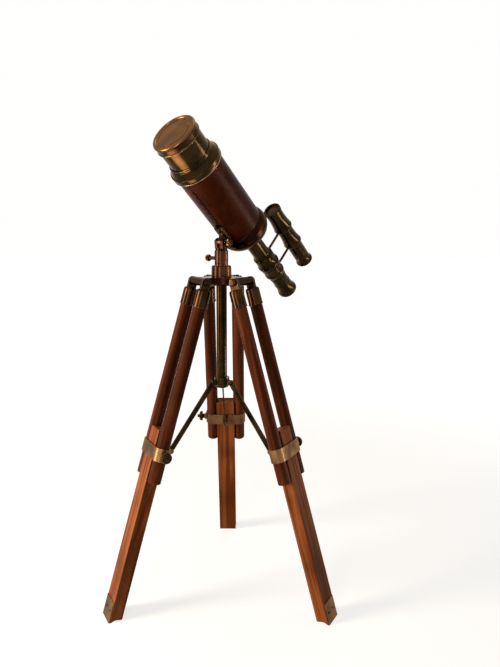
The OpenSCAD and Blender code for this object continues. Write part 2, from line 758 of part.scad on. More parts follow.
// Lens with two round faces; edge from z_low up by edge_t
module lens(r, z_low, edge_t, crown) {
    turned(concat([[0, z_low - crown]],
        bend([r * 0.3, z_low - crown], [r * 0.75, z_low - crown * 0.5], [r, z_low]),
        bend([r, z_low + edge_t], [r * 0.75, z_low + edge_t + crown * 0.5],
            [r * 0.3, z_low + edge_t + crown]),
        [[0, z_low + edge_t + crown]]));
}

module objective_lens() {
    color(glass) on_scope() lens(dew_in_r - run_gap, lens_back, lens_edge_t, 2.2);
}

module lens_ring() {
    ring_in_r = dew_in_r - 1.6;
    color(brass) on_scope() {
        tube(dew_in_r - run_gap / 2, ring_in_r, dew_seat, lens_back - 0.5);
        tube(dew_in_r - run_gap / 2, ring_in_r, lens_back + lens_edge_t + 0.5, lens_back + lens_edge_t + 3.5);
    }
}

// Draw tube and eyepiece; the travel is backwards along the axis

module draw_tube() {
    color(brass) on_scope()
        tube(draw_d / 2, draw_d / 2 - tube_wall, -draw_back - draw_grip, draw_in - guide_back);
}

// Height of a point on the first swell, at a share k of its length
function swell_z(k) = -draw_back - k * swell_1_len;

module front_swell() {
    tube_r = draw_d / 2;
    swell_r = swell_1_d / 2;
    color(brass) on_scope() turned(concat(
        [[tube_r, swell_z(0)]],
        bend([tube_r + 0.4, swell_z(0)], [tube_r + 0.8, swell_z(0.1)], [base_r - 0.6, swell_z(0.14)]),
        [[base_r, swell_z(0.17)], [base_r, swell_z(0.4)], [base_r - 0.6, swell_z(0.43)]],
        bend([base_r - 0.5, swell_z(0.44)], [base_r - 0.2, swell_z(0.58)], [swell_r - 0.8, swell_z(0.7)]),
        bend([swell_r - 0.2, swell_z(0.72)], [swell_r + 0.2, swell_z(0.79)], [swell_r - 0.4, swell_z(0.84)]),
        [[swell_r - 1.2, swell_z(0.87)], [swell_r - 1.4, swell_z(1)], [draw_in_r, swell_z(1)],
         [draw_in_r, -draw_back - draw_grip], [tube_r, -draw_back - draw_grip]]));
}

module rear_swell() {
    swell_r = swell_2_d / 2;
    high = swell_z(1);
    mid = -strut_2_back;
    low = -swell_2_back;
    rise = high - mid;
    r = eye_barrel_d / 2;
    // The bulge's curve peaks at swell_r, under the strut
    peak = 2 * swell_r - (swell_r + r) / 2;
    color(brass) on_scope() turned(concat(
        [[draw_in_r, high], [swell_1_d / 2 - 1.4, high]],
        bend([swell_1_d / 2 - 1.4, high - 1], [swell_r - 0.7, mid + 0.76 * rise],
            [swell_r - 0.6, mid + 0.7 * rise]),
        [[swell_r - 0.6, mid + 0.4 * rise], [swell_r - 1, mid + 0.37 * rise]],
        bend([swell_r - 1, mid + 0.34 * rise], [peak, mid], [r + 1, mid - 0.53 * swell_2_tail]),
        [[r + 0.4, low + 0.42 * swell_2_tail], [r + 0.4, low + 0.27 * swell_2_tail], [r + 0.9, low + 2.4],
         [r + 0.9, low + 0.4], [r + 0.5, low], [draw_in_r, low]]));
}

module eyepiece_barrel() {
    color(bright_brass) on_scope() tube(eye_barrel_d / 2, draw_in_r, -barrel_back, -swell_2_back);
}

module eyecup() {
    rim_r = eyecup_d / 2;
    r = eye_barrel_d / 2;
    lip_r = 0.17 * cup_len;
    color(brass) on_scope() turned(concat(
        [[draw_in_r, -barrel_back], [r + 0.5, -barrel_back], [r + 0.5, -barrel_back - 2]],
        bend([r + 0.1, -barrel_back - 2.4], [r + 0.2, -barrel_back - 0.5 * cup_len],
            [rim_r - 0.2, 0.27 * cup_len - cup_back]),
        arc([rim_r - lip_r, lip_r - cup_back], lip_r, 20, -80),
        [[eye_hole_r + 2, -cup_back], [eye_hole_r, -cup_back + 1], [eye_hole_r, -cup_back + 6],
         [draw_in_r, -cup_back + 9]]));
}

module eye_lens() {
    color(glass) on_scope() lens(eye_hole_r - run_gap, -cup_back + 3, 1.6, 0.6);
}

// Finder telescope on the draw tube

module finder_struts() {
    top = finder_rise - finder_swell_d / 2;
    color(brass) on_scope() rotate([0, 0, -finder_turn]) {
        translate([0, 0, -strut_1_back]) bar_y(strut_d / 2, base_r, top);
        translate([0, 0, -strut_2_back]) bar_y(strut_d / 2, swell_2_d / 2, top);
    }
}

module finder_tube() {
    swell_r = finder_swell_d / 2;
    lip_r = finder_r + 0.9;
    r = finder_r;
    nose = -finder_nose;
    bead_1 = -strut_1_back;
    bead_2 = -strut_2_back;
    run_1 = nose - bead_1;
    run_2 = bead_1 - bead_2;
    color(brass) on_finder() turned(concat(
        [[finder_bore_r, nose], [lip_r - 0.5, nose], [lip_r, nose - 0.5], [lip_r, nose - 4.5],
         [lip_r - 0.5, nose - 5], [r, nose - 5.4], [r, nose - 0.4 * run_1]],
        bend([r, nose - 0.44 * run_1], [r + 0.3, bead_1 + 0.26 * run_1], [swell_r - 0.5, bead_1 + 2.4]),
        arc([swell_r - 2.4, bead_1], 2.4, 40, -50),
        [[r - 0.3, bead_1 - 2.8], [r - 0.4, bead_1 - 0.35 * run_2]],
        bend([r - 0.4, bead_1 - 0.37 * run_2], [r - 0.1, bead_2 + 0.28 * run_2],
            [swell_r - 0.5, bead_2 + 2.4]),
        arc([swell_r - 2.4, bead_2], 2.4, 40, -50),
        [[r - 0.5, bead_2 - 2.8], [r - 0.6, -finder_mid], [finder_bore_r, -finder_mid]]));
}

module finder_lens() {
    color(glass) on_finder() lens(finder_bore_r - run_gap, -finder_nose - 5, 2, 0.8);
}

module finder_draw() {
    color(brass) on_finder()
        tube(finder_draw_r, finder_draw_r - 1.2, -finder_neck, finder_draw_grip - finder_mid);
}

module finder_eyecup() {
    r = finder_r - 0.6;
    rim_r = finder_r + 1.2;
    top = -finder_mid - finder_focus;
    lip_r = 0.15 * finder_cup_len;
    color(brass) on_finder() turned(concat(
        [[finder_draw_r, top], [r, top], [r, -finder_neck + 3]],
        bend([r, -finder_neck + 2.6], [r - 1, -finder_neck + 2], [r - 1, -finder_neck]),
        [[r - 1, -finder_neck - 1], [r - 0.2, -finder_neck - 1.8]],
        bend([r - 0.2, -finder_neck - 2.4], [r - 0.4, 0.47 * finder_cup_len - finder_end],
            [rim_r, 0.24 * finder_cup_len - finder_end]),
        arc([rim_r - lip_r, lip_r - finder_end], lip_r, 0, -80),
        [[finder_hole_r + 1, -finder_end], [finder_hole_r, -finder_end + 1], [finder_hole_r, -finder_neck - 3],
         [finder_draw_r - 1.2, -finder_neck], [finder_draw_r, -finder_neck]]));
}

module finder_eye_lens() {
    color(glass) on_finder() lens(finder_hole_r - run_gap, -finder_end + 2.4, 1.4, 0.5);
}

head_plate();
head_collar();
centre_pole();
pole_stop();
leg_bolts();
spreader_hub();
hub_rivets();
brace_rear();
brace_right();
brace_left();
leg_rods_rear();
leg_rods_right();
leg_rods_left();
leg_caps_rear();
leg_caps_right();
leg_caps_left();
leg_clamp_rear();
leg_clamp_right();
leg_clamp_left();
clamp_screw_rear();
clamp_screw_right();
clamp_screw_left();
lower_leg_rear();
lower_leg_right();
lower_leg_left();
toe_plate_rear();
toe_plate_right();
toe_plate_left();
swivel_sleeve();
fork();
swivel_screw();
tilt_screw();
tilt_nut();
saddle();
saddle_screws();
main_tube();
leather_sleeve();
front_bell();
rear_bell();
dew_shield();
objective_lens();
lens_ring();
lens_cap();
draw_tube();
front_swell();
rear_swell();
eyepiece_barrel();
eyecup();
eye_lens();
finder_tube();
finder_lens();
finder_draw();
finder_eyecup();
finder_eye_lens();
finder_struts();
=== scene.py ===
"""Dresses a small brass and leather telescope that stands on a folding wooden tripod.

Sizes in the dataclasses are millimetres where a docstring says so, and metres in Blender's own
calls. The finishes are node materials whose pattern follows the leg or tube that they lie on.
Knurling, stitches and screws are made by Geometry Nodes, and ride on the bodies they belong to.
"""

import logging
import math
from dataclasses import dataclass
from enum import Enum
from typing import Any, Sequence

import bmesh
import bpy
from mathutils import Matrix, Vector


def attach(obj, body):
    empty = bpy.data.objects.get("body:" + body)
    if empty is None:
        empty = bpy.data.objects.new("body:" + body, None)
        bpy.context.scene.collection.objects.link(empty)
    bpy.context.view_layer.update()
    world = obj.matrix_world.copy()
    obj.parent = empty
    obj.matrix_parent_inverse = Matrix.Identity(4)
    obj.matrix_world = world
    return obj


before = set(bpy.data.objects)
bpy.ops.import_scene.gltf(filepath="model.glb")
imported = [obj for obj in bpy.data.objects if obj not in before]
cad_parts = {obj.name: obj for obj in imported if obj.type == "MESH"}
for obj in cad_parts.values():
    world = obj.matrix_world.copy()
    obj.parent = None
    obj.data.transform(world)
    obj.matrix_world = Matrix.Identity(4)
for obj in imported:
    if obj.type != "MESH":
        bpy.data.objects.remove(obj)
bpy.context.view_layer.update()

log = logging.getLogger("telescope")

MM = 0.001
Colour = tuple[float, float, float]
Point = tuple[float, float, float]
Profile = list[tuple[float, float]]


def shift(x: float = 0.0, y: float = 0.0, z: float = 0.0) -> Matrix:
    """Gives a move along X, Y and Z, in millimetres."""
    return Matrix.Translation((x * MM, y * MM, z * MM))


def spin(angle: float, axis: str) -> Matrix:
    """Gives a turn about X, Y or Z, in degrees."""
    return Matrix.Rotation(math.radians(angle), 4, axis)


class Axis(Enum):
    """The direction that a finish follows: the room's, a tube's, the fork's or a leg's."""

    ROOM = "room"
    SCOPE = "scope"
    FINDER = "finder"
    FORK = "fork"
    REAR = "rear"
    RIGHT = "right"
    LEFT = "left"


class Leg(Enum):
    """The three legs, each with the direction it points in, in degrees from +X."""

    REAR = 90.0
    RIGHT = -30.0
    LEFT = 210.0

    @property
    def word(self) -> str:
        """Gives the leg's word in the node and body names."""
        return self.name.lower()

    @property
    def axis(self) -> Axis:
        """Gives the direction that the leg's finishes follow."""
        return Axis[self.name]


@dataclass(frozen=True)
class Layout:
    """Sizes of the whole instrument, in millimetres and degrees.

    The legs turn on pivots at pivot_r and pivot_h, and the telescope on a pin at tilt_z. The
    drop is from that pin to the tube's axis, and finder_rise from there to the finder's. The
    cap_face is the place of the cap's front on the axis, and the seam where the leather's edges
    meet, counted from X.
    """

    pivot_h: float = 450.0
    pivot_r: float = 33.2
    splay: float = 16.7
    tilt_z: float = 502.05
    turn: float = -36.3
    elevation: float = 39.0
    drop: float = 45.4
    finder_rise: float = 58.6
    finder_turn: float = 8.8
    cap_face: float = 151.6
    seam: float = -87.0

    def fork(self) -> Matrix:
        """Gives the frame on the tilt pin: X along the pin, Z up."""
        return shift(z=self.tilt_z) @ spin(self.turn, "Z")

    def scope(self) -> Matrix:
        """Gives the telescope's frame: Z forward on its axis, Y up, X along the pin."""
        return self.fork() @ spin(90.0 - self.elevation, "X") @ shift(y=self.drop)

    def finder(self) -> Matrix:
        """Gives the finder's frame: as the telescope's, on the finder's axis."""
        return self.scope() @ spin(-self.finder_turn, "Z") @ shift(y=self.finder_rise)

    def leg(self, leg: Leg) -> Matrix:
        """Gives a leg's frame: origin on its pivot, X outward, Z up along the leg.

        Args:
            leg: the leg that is meant.

        Returns:
            The frame's matrix, in metres.
        """
        pivot = shift(x=self.pivot_r, z=self.pivot_h)
        return spin(leg.value, "Z") @ pivot @ spin(-self.splay, "Y")

    def axis(self, axis: Axis) -> Matrix:
        """Gives the frame that a finish follows.

        Args:
            axis: the named direction.

        Returns:
            The frame's matrix, in metres.
        """
        frames = {
            Axis.ROOM: Matrix.Identity(4),
            Axis.SCOPE: self.scope(),
            Axis.FINDER: self.finder(),
            Axis.FORK: self.fork(),
        }
        return frames[axis] if axis in frames else self.leg(Leg[axis.name])


LAYOUT = Layout()


def typed(sockets: Any, kind: str, name: str | None = None) -> bpy.types.NodeSocket:
    """Finds a node's first socket of one kind.

    Args:
        sockets: the node's inputs or outputs.
        kind: the kind of socket, such as VALUE or RGBA.
        name: the socket's name, where the kind alone doesn't tell it.

    Returns:
        The socket.
    """
    return next(s for s in sockets if s.type == kind and name in (None, s.name))


class Tree:
    """Builds a node tree of any kind, one node at a time."""

    def __init__(self, tree: bpy.types.NodeTree) -> None:
        """Starts the tree without nodes.

        Args:
            tree: the tree that is built.
        """
        self.tree = tree
        self.tree.nodes.clear()

    def feed(self, socket: bpy.types.NodeSocket, value: Any) -> None:
        """Links a socket to another, or writes a plain value on it.

        Args:
            socket: the input socket.
            value: an output socket, a node that stands for its first output, or a plain value.
        """
        if isinstance(value, bpy.types.Node):
            value = value.outputs[0]
        if isinstance(value, bpy.types.NodeSocket):
            self.tree.links.new(value, socket)
        else:
            socket.default_value = value

    def node(self, kind: str, inputs: dict[str | int, Any] | None = None,
             **settings: Any) -> bpy.types.Node:
        """Adds a node, sets it and feeds its inputs.

        Args:
            kind: Blender's name of the node.
            inputs: what each input is fed, by the input's name or number.
            **settings: properties of the node.

        Returns:
            The new node.
        """
        made = self.tree.nodes.new(kind)
        for key, value in settings.items():
            setattr(made, key, value)
        for key, value in (inputs or {}).items():
            self.feed(made.inputs[key], value)
        return made

    def sum(self, kind: str, first: Any, second: Any) -> bpy.types.NodeSocket:
        """Joins two values with a Math node.

        Args:
            kind: the operation, such as MULTIPLY.
            first: the first value.
            second: the second value.

        Returns:
            The result.
        """
        return self.node("ShaderNodeMath", {0: first, 1: second}, operation=kind).outputs[0]

    def spread(self, value: Any, low: float, high: float, to_low: float = 0.0,
               to_high: float = 1.0) -> bpy.types.NodeSocket:
        """Maps a range of values to another one, with soft ends.

        Args:
            value: the value that is mapped.
            low: the value that becomes to_low.
            high: the value that becomes to_high.
            to_low: the result at low.
            to_high: the result at high.

        Returns:
            The mapped value.
        """
        made = self.node("ShaderNodeMapRange", {
            "Value": value, "From Min": low, "From Max": high, "To Min": to_low,
            "To Max": to_high}, interpolation_type="SMOOTHSTEP")
        return made.outputs["Result"]

    def seen(self) -> bpy.types.NodeSocket:
        """Gives 1 where the eye sees a surface, also by way of a mirror or a lens, and else 0."""
        path = self.node("ShaderNodeLightPath").outputs
        by_eye = self.sum("MAXIMUM", path["Is Camera Ray"], path["Is Glossy Ray"])
        return self.sum("MAXIMUM", by_eye, path["Is Transmission Ray"])


class Graph(Tree):
    """Builds the node tree of one material, whose pattern follows a frame."""

    WEAR_STARTS = 0.08
    WEAR_FULL = 0.34

    def __init__(self, name: str, place: Matrix) -> None:
        """Starts the material.

        Args:
            name: the material's name.
            place: the frame that the pattern follows.
        """
        self.material = bpy.data.materials.new(name)
        self.material.use_nodes = True
        super().__init__(self.material.node_tree)
        self.shader = self.node("ShaderNodeBsdfPrincipled")
        self.node("ShaderNodeOutputMaterial", {"Surface": self.shader})
        coords = self.node("ShaderNodeTexCoord").outputs["Object"]
        self.place = self.node("ShaderNodeMapping", {
            "Vector": coords, "Location": place.to_translation(),
            "Rotation": place.to_euler("XYZ")}, vector_type="TEXTURE").outputs["Vector"]

    def stretch(self, scale: Sequence[float]) -> bpy.types.NodeSocket:
        """Scales the pattern's coordinates along the frame's three axes.

        Args:
            scale: the three factors.

        Returns:
            The scaled coordinates.
        """
        return self.node("ShaderNodeMapping", {"Vector": self.place, "Scale": scale}).outputs[0]

    def noise(self, scale: float, detail: float, rough: float, source: Any = None,
              distortion: float = 0.0) -> bpy.types.NodeSocket:
        """Adds a noise pattern.

        Args:
            scale: features per metre.
            detail: number of finer layers.
            rough: strength of the finer layers.
            source: the coordinates; the material's own if none are given.
            distortion: how far the pattern is drawn about.

        Returns:
            The pattern's value, from 0 to 1.
        """
        made = self.node("ShaderNodeTexNoise", {
            "Vector": source or self.place, "Scale": scale, "Detail": detail,
            "Roughness": rough, "Distortion": distortion})
        return made.outputs["Fac"]

    def mix(self, factor: Any, first: Any, second: Any) -> bpy.types.NodeSocket:
        """Mixes two colours.

        Args:
            factor: 0 for the first colour, 1 for the second.
            first: a colour or a socket.
            second: a colour or a socket.

        Returns:
            The mixed colour.
        """
        made = self.node("ShaderNodeMix", data_type="RGBA")
        self.feed(made.inputs["Factor"], factor)
        for key, value in (("A", first), ("B", second)):
            plain = not isinstance(value, bpy.types.NodeSocket)
            self.feed(typed(made.inputs, "RGBA", key), (*value, 1.0) if plain else value)
        return typed(made.outputs, "RGBA")

    def bevelled(self, radius: float, samples: int) -> bpy.types.NodeSocket:
        """Rounds the shape's edges as light sees them.

        Args:
            radius: the edges' radius, in metres.
            samples: number of samples; more give less grain.

        Returns:
            The rounded normal.
        """
        made = self.node("ShaderNodeBevel", {"Radius": radius}, samples=samples)
        return made.outputs["Normal"]

    def worn_edges(self, reach: float) -> bpy.types.NodeSocket:
        """Finds the edges of the shape, where a hand rubs the surface bright.

        Args:
            reach: width of the rubbed band, in metres.

        Returns:
            A value that is 1 on the edges.
        """
        turned = self.node("ShaderNodeVectorMath", {
            0: self.bevelled(reach, samples=8),
            1: self.node("ShaderNodeNewGeometry").outputs["Normal"],
        }, operation="DOT_PRODUCT").outputs["Value"]
        return self.spread(self.sum("SUBTRACT", 1.0, turned), self.WEAR_STARTS, self.WEAR_FULL)

    def bump(self, height: Any, depth: float, strength: float,
             under: Any = None) -> bpy.types.NodeSocket:
        """Raises the surface by a pattern.

        Args:
            height: the pattern's value.
            depth: height of the pattern, in metres.
            strength: how much of it shows.
            under: a normal that this one is laid on.

        Returns:
            The new normal.
        """
        made = self.node("ShaderNodeBump", {
            "Strength": strength, "Distance": depth, "Height": height})
        if under is not None:
            self.feed(made.inputs["Normal"], under)
        return made.outputs["Normal"]

    def part(self, axis: int) -> bpy.types.NodeSocket:
        """Gives one coordinate in the pattern's frame: 0 for X, 1 for Y and 2 for Z."""
        return self.node("ShaderNodeSeparateXYZ", {0: self.place}).outputs[axis]

    def paint(self, **sockets: Any) -> None:
        """Feeds the shader's inputs, named with underscores for spaces."""
        for key, value in sockets.items():
            self.feed(self.shader.inputs[key.replace("_", " ")], value)


@dataclass(frozen=True)
class Brass:
    """Old brass with a dark patina, rubbed bright along its edges.

    The patina lies in clouds of deep and body colour. The cover says how much of the surface
    is deep and the lathe how strong the turning marks are. A face colour, where one is given,
    paints light on the cap's front: a painted highlight that makes the front lighter than the
    side. Clouds, specks and marks are counts per metre, and rub, the lit front's depth and depth
    are metres.
    """

    name: str
    deep: Colour
    body: Colour
    rubbed: Colour
    smooth: float
    dull: float
    lathe: float = 0.35
    cover: float = 0.5
    face: Colour | None = None
    glint: Colour = (0.90, 0.80, 0.70)
    relief: float = 0.12
    clouds: float = 26.0
    specks: float = 1500.0
    marks: float = 900.0
    soft: float = 0.16
    rub: float = 0.0006
    face_depth: float = 0.0008
    depth: float = 0.00005

    def build(self, axis: Axis) -> bpy.types.Material:
        """Makes the material.

        Args:
            axis: the direction of the turning marks.

        Returns:
            The material.
        """
        g = Graph(f"{self.name}_{axis.value}", LAYOUT.axis(axis))
        cloud = g.noise(self.clouds, detail=5.0, rough=0.6, distortion=0.4)
        speck = g.noise(self.specks, detail=3.0, rough=0.6)
        around = g.stretch((0.02, 0.02, 1.0))
        marks = g.noise(self.marks, detail=3.0, rough=0.6, source=around)
        body = g.spread(cloud, self.cover - self.soft, self.cover + self.soft)
        tone = g.mix(body, self.deep, self.body)
        # painted light: the cap's front face gets a lighter colour than its side, a painted
        # highlight where the light falls
        if self.face is not None:
            face = LAYOUT.cap_face * MM
            lit_front = g.spread(g.part(2), face - self.face_depth, face)
            lit_mottled = g.mix(g.spread(cloud, 0.34, 0.66, to_high=0.6), self.face, self.body)
            tone = g.mix(lit_front, tone, lit_mottled)
        tone = g.mix(g.spread(speck, 0.58, 0.78, to_high=0.35), tone, self.deep)
        patchy = g.spread(cloud, 0.3, 0.6, to_low=0.35)
        tone = g.mix(g.sum("MULTIPLY", g.worn_edges(self.rub), patchy), tone, self.rubbed)
        relief = g.sum("ADD", g.sum("MULTIPLY", marks, self.lathe),
                       g.sum("MULTIPLY", speck, 0.2))
        g.paint(Base_Color=tone, Metallic=1.0, Specular_Tint=(*self.glint, 1.0),
                Roughness=g.spread(cloud, 0.32, 0.68, self.smooth, self.dull),
                Normal=g.bump(relief, self.depth, self.relief))
        return g.material


@dataclass(frozen=True)
class Wood:
    """Red-brown hardwood under varnish, with its grain along the leg.

    Bands, fibres, pores and clouds are counts per metre, and rub, round_by and depth are metres.
    """

    name: str
    pale: Colour
    body: Colour
    dark: Colour
    sheen: Colour = (1.0, 0.55, 0.32)
    gloss: float = 0.04
    relief: float = 0.45
    bands: float = 95.0
    fibres: float = 1500.0
    pores: float = 2600.0
    clouds: float = 14.0
    rub: float = 0.0007
    round_by: float = 0.0006
    depth: float = 0.00009

    def build(self, axis: Axis) -> bpy.types.Material:
        """Makes the material.

        Args:
            axis: the leg that the grain runs along.

        Returns:
            The material.
        """
        g = Graph(f"{self.name}_{axis.value}", LAYOUT.axis(axis))
        along, finer = g.stretch((1.0, 1.0, 0.05)), g.stretch((1.0, 1.0, 0.018))
        bands = g.noise(self.bands, detail=3.0, rough=0.5, source=along, distortion=0.9)
        fibre = g.noise(self.fibres, detail=5.0, rough=0.65, source=finer)
        pores = g.noise(self.pores, detail=2.0, rough=0.5, source=along)
        cloud = g.noise(self.clouds, detail=3.0, rough=0.5)
        tone = g.mix(g.spread(bands, 0.36, 0.62), self.body, self.pale)
        for pattern, low, high, most in ((cloud, 0.40, 0.72, 0.45), (fibre, 0.50, 0.74, 0.55),
                                         (pores, 0.63, 0.72, 0.6)):
            tone = g.mix(g.spread(pattern, low, high, to_high=most), tone, self.dark)
        tone = g.mix(g.sum("MULTIPLY", g.worn_edges(self.rub), 0.35), tone, self.pale)
        pits = g.sum("MULTIPLY", g.spread(pores, 0.62, 0.72), 0.8)
        g.paint(Base_Color=tone, Roughness=g.spread(fibre, 0.3, 0.7, 0.36, 0.50),
                Specular_IOR_Level=self.gloss, Specular_Tint=(*self.sheen, 1.0),
                Normal=g.bump(g.sum("SUBTRACT", fibre, pits), self.depth, self.relief,
                              under=g.bevelled(self.round_by, samples=4)))
        return g.material


@dataclass(frozen=True)
class Leather:
    """Polished red-brown leather with a fine pebbled grain, and a dark joint at its seam.

    Pebbles, bends, clouds and creases are counts per metre, and rub, depth and the half width of
    the joint, from full to none, are metres.
    """

    name: str
    body: Colour
    dark: Colour
    rubbed: Colour
    joint: Colour = (0.004, 0.002, 0.001)
    sheen: Colour = (1.0, 0.42, 0.24)
    gloss: float = 0.03
    relief: float = 0.25
    pebbles: float = 1100.0
    bends: float = 500.0
    clouds: float = 24.0
    creases: float = 150.0
    rub: float = 0.0010
    joint_half: tuple[float, float] = (0.0003, 0.0009)
    depth: float = 0.00010

    def seam(self, g: Graph) -> bpy.types.NodeSocket:
        """Gives 1 on the line where the leather's edges meet, under the tube.

        Args:
            g: the material's graph.

        Returns:
            The value, 0 away from the line.
        """
        turned = math.radians(LAYOUT.seam + 90.0)
        beside = g.sum("ADD", g.sum("MULTIPLY", g.part(0), math.cos(turned)),
                       g.sum("MULTIPLY", g.part(1), math.sin(turned)))
        away = g.sum("ABSOLUTE", beside, 0.0)
        below = g.spread(g.part(1), -0.02, -0.01, to_low=1.0, to_high=0.0)
        near = g.spread(away, *self.joint_half, to_low=1.0, to_high=0.0)
        return g.sum("MULTIPLY", near, below)

    def build(self, axis: Axis) -> bpy.types.Material:
        """Makes the material.

        Args:
            axis: the frame that the grain lies in.

        Returns:
            The material.
        """
        g = Graph(f"{self.name}_{axis.value}", LAYOUT.axis(axis))
        cell = g.node("ShaderNodeTexVoronoi", feature="SMOOTH_F1")
        g.feed(cell.inputs["Vector"], g.place)
        g.feed(cell.inputs["Scale"], self.pebbles)
        g.feed(cell.inputs["Smoothness"], 0.35)
        bend = g.noise(self.bends, detail=3.0, rough=0.6)
        grain = g.sum("ADD", cell.outputs["Distance"], g.sum("MULTIPLY", bend, 0.6))
        cloud = g.noise(self.clouds, detail=5.0, rough=0.6, distortion=0.5)
        along = g.stretch((1.0, 1.0, 0.35))
        creases = g.noise(self.creases, detail=6.0, rough=0.7, source=along)
        joint = self.seam(g)
        tone = g.mix(g.spread(cloud, 0.36, 0.66), self.dark, self.body)
        tone = g.mix(g.spread(creases, 0.56, 0.76, to_high=0.5), tone, self.dark)
        tone = g.mix(g.sum("MULTIPLY", g.worn_edges(self.rub), 0.7), tone, self.rubbed)
        tone = g.mix(joint, tone, self.joint)
        relief = g.sum("SUBTRACT", g.sum("MULTIPLY", creases, 0.5), g.sum("ADD", grain, joint))
        g.paint(Base_Color=tone, Roughness=g.spread(cloud, 0.3, 0.7, 0.26, 0.38),
                Specular_IOR_Level=self.gloss, Specular_Tint=(*self.sheen, 1.0),
                Normal=g.bump(relief, self.depth, self.relief))
        return g.material


@dataclass(frozen=True)
class Thread:
    """Waxed dark thread, twisted from fine strands, so many per metre."""

    name: str
    body: Colour
    dark: Colour
    gloss: float = 0.08
    relief: float = 0.6
    strands: float = 2400.0
    depth: float = 0.0001

    def build(self, axis: Axis) -> bpy.types.Material:
        """Makes the material.

        Args:
            axis: the frame that the strands lie in.

        Returns:
            The material.
        """
        g = Graph(f"{self.name}_{axis.value}", LAYOUT.axis(axis))
        along = g.stretch((1.0, 0.4, 1.0))
        strand = g.noise(self.strands, detail=3.0, rough=0.6, source=along)
        g.paint(Base_Color=g.mix(g.spread(strand, 0.35, 0.65), self.dark, self.body),
                Roughness=0.6, Specular_IOR_Level=self.gloss,
                Normal=g.bump(strand, self.depth, self.relief))
        return g.material


@dataclass(frozen=True)
class Glass:
    """Ground and polished optical glass with a little dust, so many grains per metre."""

    name: str
    tint: Colour
    clear: float = 0.85
    haze: float = 0.02
    gloss: float = 0.5
    dust: float = 700.0
    dusty: float = 0.14
    index: float = 1.52

    def build(self, axis: Axis) -> bpy.types.Material:
        """Makes the material.

        Args:
            axis: the frame that the dust lies in.

        Returns:
            The material.
        """
        g = Graph(f"{self.name}_{axis.value}", LAYOUT.axis(axis))
        dust = g.noise(self.dust, detail=6.0, rough=0.75)
        g.paint(Base_Color=(*self.tint, 1.0), IOR=self.index,
                Roughness=g.spread(dust, 0.5, 0.8, self.haze, self.haze + self.dusty),
                Transmission_Weight=self.clear, Specular_IOR_Level=self.gloss)
        return g.material


DARK_BRASS = Brass("dark_brass", (0.011, 0.0065, 0.0025), (0.034, 0.019, 0.0075),
                   (0.26, 0.19, 0.12), smooth=0.10, dull=0.22)
WARM_BRASS = Brass("warm_brass", (0.014, 0.007, 0.003), (0.042, 0.020, 0.0075),
                   (0.36, 0.24, 0.13), smooth=0.12, dull=0.26, cover=0.45)
# the cap's finish paints light: its front face is a lighter painted highlight against its darker
# side
CAP_BRASS = Brass("cap_brass", (0.012, 0.006, 0.0025), (0.032, 0.016, 0.0065),
                  (0.34, 0.25, 0.17), smooth=0.18, dull=0.30, lathe=0.3, cover=0.45,
                  face=(0.185, 0.075, 0.023))
POLE_BRASS = Brass("pole_brass", (0.008, 0.0045, 0.0018), (0.026, 0.013, 0.005),
                   (0.26, 0.17, 0.10), smooth=0.14, dull=0.26)
RED_BRONZE = Brass("red_bronze", (0.007, 0.0025, 0.0015), (0.020, 0.0065, 0.003),
                   (0.16, 0.08, 0.045), smooth=0.18, dull=0.32, glint=(0.80, 0.70, 0.61))
ROSE_BRASS = Brass("rose_brass", (0.016, 0.0065, 0.0035), (0.060, 0.025, 0.0125),
                   (0.38, 0.24, 0.15), smooth=0.14, dull=0.26)
BAND_BRASS = Brass("band_brass", (0.070, 0.034, 0.014), (0.190, 0.098, 0.042),
                   (0.50, 0.36, 0.22), smooth=0.24, dull=0.42)
BRONZED = Brass("bronzed_steel", (0.020, 0.012, 0.007), (0.060, 0.036, 0.021),
                (0.40, 0.31, 0.22), smooth=0.20, dull=0.38)
# rubbed brass, made bright enough to paint the highlight lines round the flange's and the cap's
# rims
RUBBED_HIGHLIGHT_BRASS = Brass("rubbed_highlight_brass", (0.080, 0.048, 0.028), (0.240, 0.155, 0.095),
                     (0.50, 0.38, 0.26), smooth=0.18, dull=0.30)
LEG_WOOD = Wood("leg_wood", (0.320, 0.100, 0.029), (0.150, 0.036, 0.0095),
                (0.034, 0.008, 0.003))
ROD_WOOD = Wood("rod_wood", (0.130, 0.034, 0.012), (0.050, 0.011, 0.0038),
                (0.009, 0.0022, 0.0011))
TUBE_LEATHER = Leather("tube_leather", (0.048, 0.0092, 0.0026), (0.022, 0.0040, 0.0012),
                       (0.14, 0.038, 0.014))
LACE = Thread("lace", (0.006, 0.003, 0.002), (0.002, 0.001, 0.001))
LENS_GLASS = Glass("lens_glass", (0.86, 0.92, 0.90))
# opaque dark brown lens: painted shade for the dark inside of the tube behind clear glass, with a
# painted brown reflection
PAINTED_SHADE_GLASS = Glass("painted_shade_glass", (0.034, 0.018, 0.007), clear=0.0, haze=0.26, gloss=0.10)

Finish = Brass | Wood | Leather | Thread | Glass


